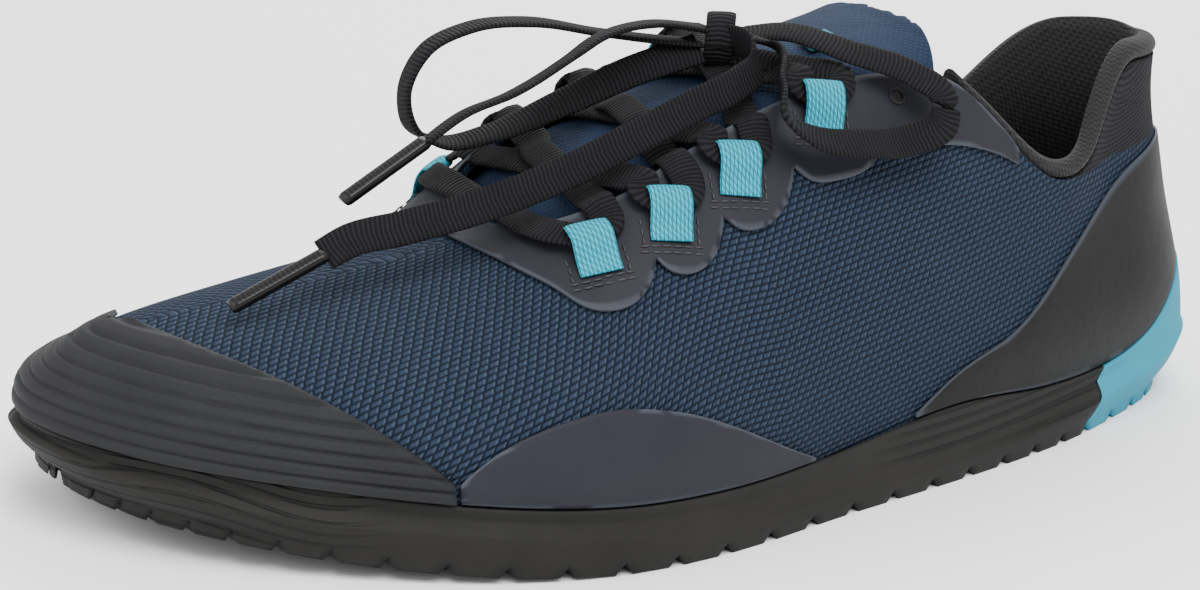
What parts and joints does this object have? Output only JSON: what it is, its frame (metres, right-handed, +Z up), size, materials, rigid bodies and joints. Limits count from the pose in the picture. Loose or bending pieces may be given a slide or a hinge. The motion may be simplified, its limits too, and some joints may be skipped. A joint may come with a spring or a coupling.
{
  "type": "barefoot running shoe",
  "caption": "Low lace-up barefoot running shoe for the left foot, with a thin lugged rubber sole, knit upper, padded collar and a tied flat lace.",
  "frame": {"origin": "on the ground, under the middle of the shoe's bounding box", "axes": "toe towards -X, outer side of the foot towards -Y, inner side towards +Y, +Z up"},
  "size_m": [0.282, 0.1075, 0.0903],
  "materials": {
    "knit": "blue mesh knit with raised knots",
    "turquoise_rubber": "matte turquoise rubber",
    "outsole_rubber": "matte black rubber",
    "insole_foam": "dark cloth over thin foam",
    "bumper_rubber": "grooved charcoal rubber",
    "side_film": "thin bonded film, dark grey",
    "counter_film": "thin bonded film, near black",
    "eyestay_film": "thin bonded film, purple grey",
    "lining_mesh": "padded black mesh",
    "tongue_mesh": "blue and dark knit",
    "label_weave": "bare woven label",
    "loop_webbing": "turquoise woven webbing",
    "lace_cord": "flat black ribbed lace",
    "lace_tip": "clear-coated black lace tip"
  },
  "bodies": {
    "root": {"upper": "knit", "heel_rubber": "turquoise_rubber", "outsole": "outsole_rubber", "insole": "insole_foam", "toe_bumper": "bumper_rubber", "side_film_outer": "side_film", "side_film_inner": "side_film", "heel_counter": "counter_film", "eyestay": "eyestay_film", "collar_lining": "lining_mesh", "tongue": "tongue_mesh", "tongue_label": "label_weave", "lace_loop_outer_1": "loop_webbing", "lace_loop_outer_2": "loop_webbing", "lace_loop_outer_3": "loop_webbing", "lace_loop_outer_4": "loop_webbing", "lace_loop_inner_1": "loop_webbing", "lace_loop_inner_2": "loop_webbing", "lace_loop_inner_3": "loop_webbing", "lace_loop_inner_4": "loop_webbing", "lace_crossings": "lace_cord", "lace_knot": "lace_cord", "lace_bow_left": "lace_cord", "lace_bow_right": "lace_cord", "lace_end_long": "lace_cord", "lace_end_short": "lace_cord", "lace_tip_long": "lace_tip", "lace_tip_short": "lace_tip"}
  },
  "joints": []
}
